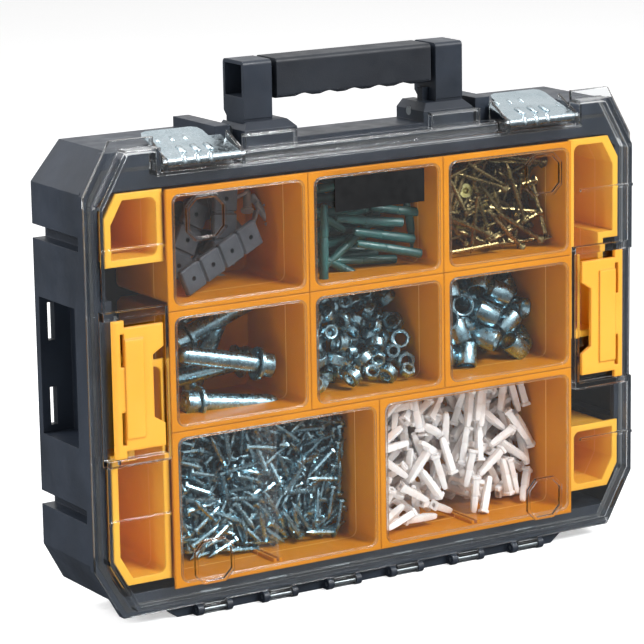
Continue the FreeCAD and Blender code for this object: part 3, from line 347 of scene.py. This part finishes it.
def bored(piece, radius, depth, at, sides=12):
    """Cuts a round hole along Z into the piece."""
    bpy.ops.object.select_all(action="DESELECT")
    bpy.ops.mesh.primitive_cylinder_add(vertices=sides, radius=radius, depth=depth, location=at)
    drill = started("drill")
    alone(piece)
    hole = piece.modifiers.new("hole", "BOOLEAN")
    hole.operation = "DIFFERENCE"
    hole.object = drill
    bpy.ops.object.modifier_apply(modifier=hole.name)
    bpy.data.objects.remove(drill)
    return piece


def block(name, size, at=(0, 0, 0)):
    """A block of this size, to be shaped."""
    bpy.ops.object.select_all(action="DESELECT")
    bpy.ops.mesh.primitive_cube_add(size=1, location=at)
    piece = started(name)
    piece.scale = size
    bpy.ops.object.transform_apply(location=True, rotation=True, scale=True)
    return piece


# Steel latches

# Across the latch from its middle, in millimetres
BARS = (-11, -0.2, 9.8)
DOMES = (-15.3, -5.5, 4.2)
BUMPS = (-19.8, -8.9, 1)
# Where the rows of marks cross the sheet: depth and height
BAR_ROW = (-31.6 * MM, 319.6 * MM)
DOME_ROW = (-43.3 * MM, 314.6 * MM)
BUMP_ROW = (-15.8 * MM, 323.9 * MM)
SHEET_RISE = 7.3 * MM
SHEET_RUN = 24.7 * MM
DOME_LEAN = math.radians(68)
DOME_STRETCH = (0.75, 1.35, 1, 1)


def latch_marks(side):
    """The pressed bars, domes and bumps of one steel latch, the same stamping on both sides."""
    low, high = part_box("steel_latch_" + side)
    middle = (low[0] + high[0]) / 2
    slope = math.atan2(SHEET_RISE, SHEET_RUN)
    made = []
    for offset in BARS:
        bar = block("bar", (4.2 * MM, 10.5 * MM, 1.6 * MM))
        chamfered(bar, 0.75 * MM)
        place = Matrix.Translation((middle + offset * MM, *BAR_ROW))
        bar.data.transform(place @ Matrix.Rotation(slope, 4, "X"))
        made.append(bar)
    for offset in DOMES:
        dome = turned("dome", [(2.9 * MM, 0), (2.8 * MM, 0.5 * MM), (2.2 * MM, 1.1 * MM),
                               (1.2 * MM, 1.4 * MM), (0.3 * MM, 1.5 * MM)], 16)
        place = Matrix.Translation((middle + offset * MM, *DOME_ROW))
        dome.data.transform(place @ Matrix.Rotation(DOME_LEAN, 4, "X")
                            @ Matrix.Diagonal(DOME_STRETCH))
        made.append(dome)
    for offset in BUMPS:
        bump = block("bump", (2.6 * MM, 7 * MM, 2 * MM))
        chamfered(bump, 0.95 * MM)
        place = Matrix.Translation((middle + offset * MM, *BUMP_ROW))
        bump.data.transform(place @ Matrix.Rotation(slope, 4, "X"))
        made.append(bump)
    piece = joined(*made)
    piece.name = "latch_marks_" + side
    settled(piece, latch_finish)
    alone(piece)
    bpy.ops.object.shade_smooth_by_angle(angle=math.radians(50))
    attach(piece, "latch_" + side)


for side in ("left", "right"):
    latch_marks(side)


# Lid

LID_UNDERSIDE = -40.8 * MM
RIB_GAP = 0.1 * MM
RIB_DEPTH = 1.6 * MM
RIB_WIDTH = 1.5 * MM
RIB_INSET = 3.5 * MM
RIB_ROUND = 6 * MM
RIB_EDGE = 0.3 * MM


def cell_ribs():
    """Clear ribs under the lid that follow the inner edge of every cup, so that small pieces
    can't climb over the rims."""
    made = []
    for name in sorted(NODES):
        if not name.startswith("cup_"):
            continue
        low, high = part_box(name)
        front = LID_UNDERSIDE + RIB_GAP + RIB_DEPTH
        bpy.ops.object.select_all(action="DESELECT")
        bpy.ops.mesh.primitive_plane_add(
            size=1, rotation=(math.pi / 2, 0, 0),
            location=((low[0] + high[0]) / 2, front, (low[2] + high[2]) / 2))
        rib = started("rib")
        rib.scale = (high[0] - low[0] - 2 * RIB_INSET, high[2] - low[2] - 2 * RIB_INSET, 1)
        bpy.ops.object.transform_apply(location=True, rotation=True, scale=True)
        bpy.ops.object.mode_set(mode="EDIT")
        bpy.ops.mesh.select_all(action="SELECT")
        bpy.ops.mesh.bevel(offset=RIB_ROUND, segments=4, affect="VERTICES")
        bpy.ops.mesh.inset(thickness=RIB_WIDTH)
        bpy.ops.mesh.delete(type="FACE")
        bpy.ops.mesh.select_all(action="SELECT")
        bpy.ops.mesh.extrude_region_move(TRANSFORM_OT_translate={"value": (0, -RIB_DEPTH, 0)})
        bpy.ops.mesh.select_all(action="SELECT")
        bpy.ops.mesh.normals_make_consistent(inside=False)
        bpy.ops.object.mode_set(mode="OBJECT")
        made.append(chamfered(rib, RIB_EDGE))
    piece = joined(*made)
    piece.name = "cell_ribs"
    settled(piece, clear)
    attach(piece, "lid")


cell_ribs()


# Contents of the cups

CUP_RIM = 4.6 * MM
CUP_FLOOR = 2 * MM
DIVIDER_HALF = 1.5 * MM
REST_STEP = 8 * MM


class Heap:
    """Loose pieces in a cup. It keeps how high they lie over each square millimetre of the
    cup's floor, and rests every new one on what is under it. The four heights are how deep
    the cup is filled at its lower left, lower right, upper left and upper right."""

    def __init__(self, cup, heights, walls=()):
        low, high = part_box(cup)
        self.left, self.right = low[0] + CUP_RIM, high[0] - CUP_RIM
        self.low, self.high = low[2] + CUP_RIM, high[2] - CUP_RIM
        self.floor = high[1] - CUP_FLOOR
        self.heights = [height * MM for height in heights]
        self.walls = walls
        self.across = int((self.right - self.left) / MM) + 1
        self.up = int((self.high - self.low) / MM) + 1
        self.map = [[0] * self.up for _ in range(self.across)]

    def cell(self, x, z):
        column = min(max(int((x - self.left) / MM), 0), self.across - 1)
        return column, min(max(int((z - self.low) / MM), 0), self.up - 1)

    def ceiling(self, x, z):
        u = (x - self.left) / (self.right - self.left)
        v = (z - self.low) / (self.high - self.low)
        bottom = self.heights[0] * (1 - u) + self.heights[1] * u
        top = self.heights[2] * (1 - u) + self.heights[3] * u
        return bottom * (1 - v) + top * v

    def inside(self, x, z, radius):
        if any(abs(x - wall) < radius + DIVIDER_HALF for wall in self.walls):
            return False
        return (self.left + radius < x < self.right - radius
                and self.low + radius < z < self.high - radius)

    def rest(self, x, z, turn, length, radius):
        """How high a rod's middle comes to lie there, and how steep it lies."""
        across, up = math.cos(turn), math.sin(turn)
        count = max(1, round(length / REST_STEP))
        needs = []
        for k in range(-count, count + 1):
            along = k * length / 2 / count
            need = 0
            for share in (-0.8, -0.4, 0, 0.4, 0.8):
                column, row = self.cell(x + across * along - up * share * radius,
                                        z + up * along + across * share * radius)
                need = max(need, self.map[column][row] + radius * math.sqrt(1 - share * share))
            needs.append((along, need))
        height = max([need for along, need in needs if along == 0]
                     + [(n1 * a2 - n2 * a1) / (a2 - a1) for a1, n1 in needs if a1 < 0
                        for a2, n2 in needs if a2 > 0])
        lowest = max([(need - height) / along for along, need in needs if along > 0] or [0])
        highest = min([(need - height) / along for along, need in needs if along < 0] or [0])
        return height, max(lowest, min(highest, 0))

    def drop(self, length, radius, level=None, tries=12, steepest=0.7):
        """The place of a rod that is thrown in, or None where it would lie too high. With
        level, it lies within so many degrees of level in the cup's plane."""
        best = None
        for _ in range(tries):
            x = random.uniform(self.left + radius, self.right - radius)
            z = random.uniform(self.low + radius, self.high - radius)
            turn = random.uniform(0, math.tau)
            if level:
                turn = math.radians(random.gauss(0, level)) + math.pi * random.randint(0, 1)
            reach = length / 2 - radius
            ends = [(x + s * math.cos(turn) * reach, z + s * math.sin(turn) * reach)
                    for s in (-1, 0, 1)]
            if not all(self.inside(a, b, radius) for a, b in ends):
                continue
            if any((ends[0][0] - wall) * (ends[2][0] - wall) < 0 for wall in self.walls):
                continue
            height, slope = self.rest(x, z, turn, length, radius)
            tops = [height + s * slope * reach + radius for s in (-1, 0, 1)]
            if abs(slope) > steepest or any(top > self.ceiling(a, b)
                                            for top, (a, b) in zip(tops, ends)):
                continue
            if best is None or height < best[0]:
                best = (height, x, z, turn, slope)
        if best is None:
            return None
        height, x, z, turn, slope = best
        return self.placed(x, z, turn, height, slope, length, radius)

    def placed(self, x, z, turn, height, slope, length, radius):
        """Marks a rod's place in the map and returns it."""
        across, up = math.cos(turn), math.sin(turn)
        flat = length / 2 / math.sqrt(1 + slope * slope)
        steps = int(flat / MM) + 1
        wide = int(radius / MM) + 1
        for k in range(-steps, steps + 1):
            along = k * flat / steps
            for n in range(-wide, wide + 1):
                aside = n * radius / wide
                column, row = self.cell(x + across * along - up * aside,
                                        z + up * along + across * aside)
                top = height + slope * along + math.sqrt(max(0, radius ** 2 - aside ** 2))
                self.map[column][row] = max(self.map[column][row], top)
        axis = Vector((across, -slope, up)).normalized()
        turned_to = axis.to_track_quat("Z", "Y").to_matrix().to_4x4()
        roll = Matrix.Rotation(random.uniform(0, math.tau), 4, "Z")
        return Matrix.Translation((x, self.floor - height, z)) @ turned_to @ roll

    def fill(self, count, length, radius, misses=60, tumbled=False, level=None):
        """Places for up to count pieces. Tumbled ones lie at any angle."""
        places = []
        missed = 0
        while len(places) < count and missed < misses:
            place = self.drop(length, radius, level)
            if place is None:
                missed += 1
                continue
            if tumbled:
                tumble = Quaternion([random.gauss(0, 1) for _ in range(4)]).normalized()
                place = Matrix.Translation(place.translation) @ tumble.to_matrix().to_4x4()
            places.append(place)
        return places


def screw(name, length, shank, head, sides, turns, countersunk=False):
    """A pointed screw along Z with its head up; its thread is drawn as rings."""
    half = length / 2
    rings_of = [(0.15 * shank, -half), (0.85 * shank, -half + 2.2 * shank)]
    rise = (length - 4.5 * shank) / turns
    for k in range(turns):
        height = -half + 2.2 * shank + (k + 0.5) * rise
        rings_of += [(1.2 * shank, height), (0.85 * shank, height + rise / 2)]
    if countersunk:
        rings_of += [(shank, half - 2.1 * shank), (head, half - 0.4 * shank), (head, half),
                     (0.45 * head, half), (0.15 * head, half - 0.8 * shank)]
    else:
        rings_of += [(shank, half - 1.3 * shank), (head, half - 1.25 * shank),
                     (0.9 * head, half - 0.4 * shank), (0.4 * head, half)]
    return turned(name, rings_of, sides)


def plug(name, length, radius, collar, split, sides=16):
    """A fluted wall plug along Z, with a neck where its split end begins."""
    half = length / 2
    rings_of = [(0.55 * radius, -half), (0.8 * radius, -half + 2 * MM), (radius, -half + split),
                (0.86 * radius, -half + split + 1 * MM), (radius, -half + split + 2 * MM),
                (radius, half - 2.5 * MM), (collar, half - 1.8 * MM), (collar, half),
                (0.6 * radius, half), (0.5 * radius, half - 4 * MM)]
    return pinched(turned(name, rings_of, sides, 30), sides // 2, 0.76)


def nut(name, across, height, bore):
    """A hexagon nut along Z with its corners turned down and an open bore."""
    corner = across / math.sqrt(3)
    flat = across / 2
    half = height / 2
    edge = 0.6 * MM
    piece = ring(name, [(bore, -half), (flat, -half), (corner, -half + edge),
                        (corner, half - edge), (flat, half), (bore, half)], 12, 30)
    for vertex in piece.data.vertices:
        out = math.hypot(vertex.co.x, vertex.co.y)
        turn = math.atan2(vertex.co.y, vertex.co.x) / (math.tau / 6)
        if out > flat * 1.01 and abs(turn - round(turn)) > 0.01:
            share = flat / out
            vertex.co.x *= share
            vertex.co.y *= share
    return piece


zinc = plated_steel("zinc_plated_fasteners", "#AFCFDA", "#86A4B0", 0.27, 10, 0.003)
passivated = plated_steel("yellow_passivated_steel", "#A59466", "#6E6040", 0.28, 12)
brassy = plated_steel("yellow_zinc_head", "#E2DA9A", "#BFB46C", 0.3, 5)
green_nylon = moulded_nylon("green_nylon", "#295B58", "#214A49", 0.1)
grey_nylon = moulded_nylon("grey_nylon", "#484B51", "#3A3D43", 0.05)
pale_nylon = moulded_nylon("pale_grey_nylon", "#9DA3A6", "#888E92", 0.2)
white_nylon = moulded_nylon("natural_nylon", "#FCF7F5", "#F3EAE6", 0.6)

# Lower left: small zinc screws, almost to the rim at the left
small_screws = Heap("cup_lower_left", (76, 62, 68, 44))
copies("small_screws", screw("screw", 25 * MM, 1.7 * MM, 3.8 * MM, 7, 4),
       small_screws.fill(700, 25 * MM, 1.9 * MM), zinc)

# Lower right: white nylon anchors, on both sides of the clear divider
low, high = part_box("divider_right")
anchors = Heap("cup_lower_right", (73, 52, 73, 30), walls=[(low[0] + high[0]) / 2])
copies("white_anchors", plug("anchor", 27 * MM, 3.2 * MM, 4.3 * MM, 11 * MM, 8),
       anchors.fill(420, 27 * MM, 3.4 * MM, 150), white_nylon)

# Middle centre: hexagon nuts of two sizes, heaped to the lower left
nuts = Heap("cup_middle_centre", (70, 66, 58, 22))
for name, count, across, height, bore in (("nuts_m8", 110, 12.6, 6.5, 4.2),
                                          ("nuts_m6", 150, 9.8, 5.2, 3.1)):
    radius = across * MM * 0.5
    copies(name, nut("nut", across * MM, height * MM, bore * MM),
           nuts.fill(count, 2.2 * radius, radius * 0.9, tumbled=True), zinc)

# Middle right: short zinc tubes
tubes = Heap("cup_middle_right", (68, 56, 66, 34))
copies("short_tubes", ring("tube", [(6.2 * MM, -8 * MM), (7.6 * MM, -8 * MM), (7.9 * MM, -7.4 * MM),
                                    (7.9 * MM, 7.4 * MM), (7.6 * MM, 8 * MM), (6.2 * MM, 8 * MM)],
                             24, 50),
       tubes.fill(64, 15 * MM, 7.9 * MM, tumbled=True), zinc)

# Upper right: long screws, a few seen on their heads
long_screws = Heap("cup_upper_right", (66, 60, 66, 58))
copies("long_screws", screw("screw", 45 * MM, 1.5 * MM, 3.9 * MM, 8, 13, True),
       long_screws.fill(190, 45 * MM, 1.8 * MM), passivated)
upright = [Matrix.Translation((x * MM, y * MM, z * MM))
           @ Matrix.Rotation(math.radians(lean), 4, "X")
           @ Matrix.Rotation(math.radians(aside), 4, "Y")
           for x, y, z, lean, aside in ((95, 0, 262, 80, -20), (69, 4, 226, 60, -30),
                                        (108, 8, 245, 75, 10), (82, 2, 240, 100, 15))]
copies("screw_heads", screw("screw", 30 * MM, 1.6 * MM, 5 * MM, 12, 6, True), upright, brassy)


def strip(name, count):
    """Nylon strap of square plates, each with a screw hole, along X from its middle."""
    pitch = 18.5 * MM
    made = []
    for k in range(count):
        x = (k - (count - 1) / 2) * pitch
        plate = block("plate", (17 * MM, 18 * MM, 5 * MM), (x, 0, 0))
        chamfered(plate, 0.9 * MM)
        made.append(bored(plate, 1.7 * MM, 12 * MM, (x, 0, 0)))
    for k in range(count - 1):
        x = (k - (count - 2) / 2) * pitch
        link = block("link", (3.4 * MM, 15 * MM, 2.4 * MM), (x, 0, 0))
        made.append(chamfered(link, 0.5 * MM))
    return joined(*made) if len(made) > 1 else made[0]


def facing(x, y, z, turn, lean=0, tip=0):
    """A place in a cup for a piece modelled flat with Z up: its Z faces the lid, and it is
    turned in the cup's plane, leant about its length and tipped, in degrees."""
    return (Matrix.Translation((x * MM, y * MM, z * MM)) @ Matrix.Rotation(math.radians(90), 4, "X")
            @ Matrix.Rotation(math.radians(turn), 4, "Z") @ Matrix.Rotation(math.radians(tip), 4, "Y")
            @ Matrix.Rotation(math.radians(lean), 4, "X"))


# Upper left: grey straps and light wing anchors
made = []
for count, place in ((4, facing(-111, -17, 241, 22, 0, 11)), (3, facing(-97, 2, 258, 84, 0, 4)),
                     (3, facing(-122, 10, 250, 62, 0, 8)), (4, facing(-112, 24, 246, -12)),
                     (3, facing(-98, 14, 239, 40, 0, 6)), (4, facing(-110, 31, 264, 10))):
    model = strip("strap", count)
    model.data.transform(place)
    made.append(model)
straps = joined(*made)
straps.name = "grey_straps"
settled(straps, grey_nylon)
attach(straps, "base")


def wing_anchor():
    """A toggle anchor: a short stem along Z and two wings."""
    stem = turned("stem", [(1.2 * MM, -11 * MM), (2.6 * MM, -9 * MM), (3 * MM, 3 * MM),
                           (4.4 * MM, 4 * MM), (4.4 * MM, 5.5 * MM), (2 * MM, 5.5 * MM)], 12)
    made = [stem]
    for side in (-1, 1):
        wing = block("wing", (11 * MM, 6.5 * MM, 2.2 * MM))
        chamfered(wing, 0.7 * MM)
        for vertex in wing.data.vertices:
            vertex.co.y *= 1 - 0.06 * (vertex.co.x / MM)
        wing.data.transform(Matrix.Rotation(math.radians(90 - 90 * side), 4, "Z")
                            @ Matrix.Translation((7 * MM, 0, -4 * MM))
                            @ Matrix.Rotation(math.radians(-35), 4, "Y"))
        made.append(wing)
    return joined(*made)


copies("wing_anchors", wing_anchor(),
       [facing(-58, 12, 259, 30, 70), facing(-70, 16, 268, -20, 60), facing(-84, 26, 216, 60, 50),
        facing(-77, 28, 232, 10, 80)], pale_nylon)


def sleeve_anchor():
    """A zinc plated sleeve anchor along Z: sleeve, stud, washer and hexagon head."""
    sleeve = ring("sleeve", [(5.2 * MM, -36 * MM), (6.4 * MM, -36 * MM), (6.5 * MM, -35 * MM),
                             (6.5 * MM, 18 * MM), (6.1 * MM, 18.4 * MM), (5.2 * MM, 18.4 * MM)], 28)
    stud = turned("stud", [(3 * MM, -41 * MM), (4.8 * MM, -40 * MM), (6 * MM, -37 * MM),
                           (4.6 * MM, -30 * MM), (4 * MM, -20 * MM), (4 * MM, 30 * MM),
                           (3.2 * MM, 31 * MM)], 20)
    washer = ring("washer", [(4.5 * MM, 18.5 * MM), (11.5 * MM, 18.5 * MM), (11.5 * MM, 20.5 * MM),
                             (4.5 * MM, 20.5 * MM)], 32)
    head = nut("head", 15.5 * MM, 9.5 * MM, 4 * MM)
    head.data.transform(Matrix.Translation((0, 0, 25.6 * MM)))
    return joined(sleeve, stud, washer, head)


def along(x, y, z, turn, lean):
    """A place for a piece modelled along Z: its top points right, turned and leant in degrees."""
    return facing(x, y, z, turn, 0, lean) @ Matrix.Rotation(math.radians(90), 4, "Y")


# Upper centre: green wall plugs, the top ones placed as they lie in the photograph
plugs = Heap("cup_upper_centre", (50, 46, 48, 44))
places = [along(-35, -26, 244, -90, 2), along(36, -12, 256, -11, 3), along(4, -22, 254, -9, -3),
          along(17, -20, 242, -13, 4), along(19, -23, 233, -14, -2), along(8, -9, 224, -6, 3),
          along(-8, -12, 219, -30, 0), along(50, -6, 236, -76, 4), along(-4, -10, 238, 32, 6)]
places += plugs.fill(10, 52 * MM, 4 * MM) + plugs.fill(50, 52 * MM, 4 * MM, 150, level=14)
copies("green_plugs", plug("plug", 52 * MM, 4.1 * MM, 4.2 * MM, 22 * MM, 14), places, green_nylon)

# Middle left: sleeve anchors
copies("sleeve_anchors", sleeve_anchor(),
       [along(-99, -8, 167, -13, -4), along(-107, -10, 139, 172, 3), along(-104, 12, 190, 200, 0),
        along(-102, 14, 158, 8, -6), along(-96, 22, 180, 70, -10), along(-118, 26, 172, 100, 5)], zinc)


# Floor, light and camera

def ground():
    """White studio floor, lit from below where it is seen, as a sweep is. Wherever it is mirrored its
    colour is painted dark grey, a painted reflection that keeps glare off the lid and steel."""
    material, tree, shader, place = new_finish("studio_floor", {"Roughness": 0.8})
    patch = between(tree, cloud(tree, place, 1.5, 2), 0, 1)
    path = add_node(tree, "ShaderNodeLightPath")
    mirrored = between(tree, path.outputs["Glossy Depth"], 0, 1, 0, 1)
    # Painted reflection: the floor is dark grey wherever it is seen in a reflection
    painted_dark_in_reflections = add_node(tree, "ShaderNodeMix", {"data_type": "RGBA", 7: linear("#45484B")},
                     {0: mirrored, 6: tinted(tree, patch, "#F4F4F4", "#F1F1F1")})
    tree.links.new(painted_dark_in_reflections.outputs[2], shader.inputs["Base Color"])
    seen = add_node(tree, "ShaderNodeMath", {"operation": "MAXIMUM"},
                    {0: path.outputs["Is Camera Ray"], 1: path.outputs["Is Transmission Ray"]})
    straight = add_node(tree, "ShaderNodeMath", {"operation": "SUBTRACT"},
                        {0: seen.outputs[0], 1: mirrored})
    tree.links.new(between(tree, straight.outputs[0], 0, 0.5, 0, 1),
                   shader.inputs["Emission Strength"])
    shader.inputs["Emission Color"].default_value = linear("#FFFFFF")
    return material


bpy.ops.object.select_all(action="DESELECT")
bpy.ops.mesh.primitive_plane_add(size=20)
floor = started("floor")
floor.data.materials.append(ground())

world = bpy.data.worlds.new("studio")
bpy.context.scene.world = world
world.use_nodes = True
backdrop = world.node_tree.nodes["Background"]
soft = add_node(world.node_tree, "ShaderNodeLightPath").outputs["Is Diffuse Ray"]
world.node_tree.links.new(between(world.node_tree, soft, 0.9, 0.32, 0, 1),
                          backdrop.inputs["Strength"])
backdrop.inputs["Color"].default_value = linear("#FFFFFF")


def soft_light(name, size, power, place, target=(0, 0, 0.17)):
    lamp = bpy.data.lights.new(name, "AREA")
    lamp.shape = "RECTANGLE"
    lamp.size, lamp.size_y = size
    lamp.energy = power
    light = bpy.data.objects.new(name, lamp)
    light.location = place
    aim = Vector(target) - Vector(place)
    light.rotation_euler = aim.to_track_quat("-Z", "Y").to_euler()
    bpy.context.scene.collection.objects.link(light)


soft_light("key", (1.2, 0.9), 86, (0.95, -2.0, 2.0))
soft_light("top", (1.6, 1.0), 9, (-0.1, 0.3, 1.9))
soft_light("fill", (0.9, 0.9), 36, (-1.8, 0.7, 1.5))
soft_light("edge", (0.2, 1.6), 7, (-2.1, -0.8, 0.7))

RIGHT = Vector((0.8465, -0.5324, -0.0156))
UP = Vector((0.1255, 0.1709, 0.9772))
AHEAD = Vector((0.5175, 0.8291, -0.2114))
camera_data = bpy.data.cameras.new("camera")
camera_data.sensor_width = 36
camera_data.lens = 178.25
camera_data.shift_x = -0.0187
camera_data.shift_y = -0.0073
camera_data.clip_end = 100
camera = bpy.data.objects.new("camera", camera_data)
turn = Matrix((RIGHT, UP, -AHEAD)).transposed().to_4x4()
camera.matrix_world = Matrix.Translation((-1.1535, -1.83, 0.6508)) @ turn
bpy.context.scene.collection.objects.link(camera)
bpy.context.scene.camera = camera
bpy.context.scene.view_settings.view_transform = "Standard"
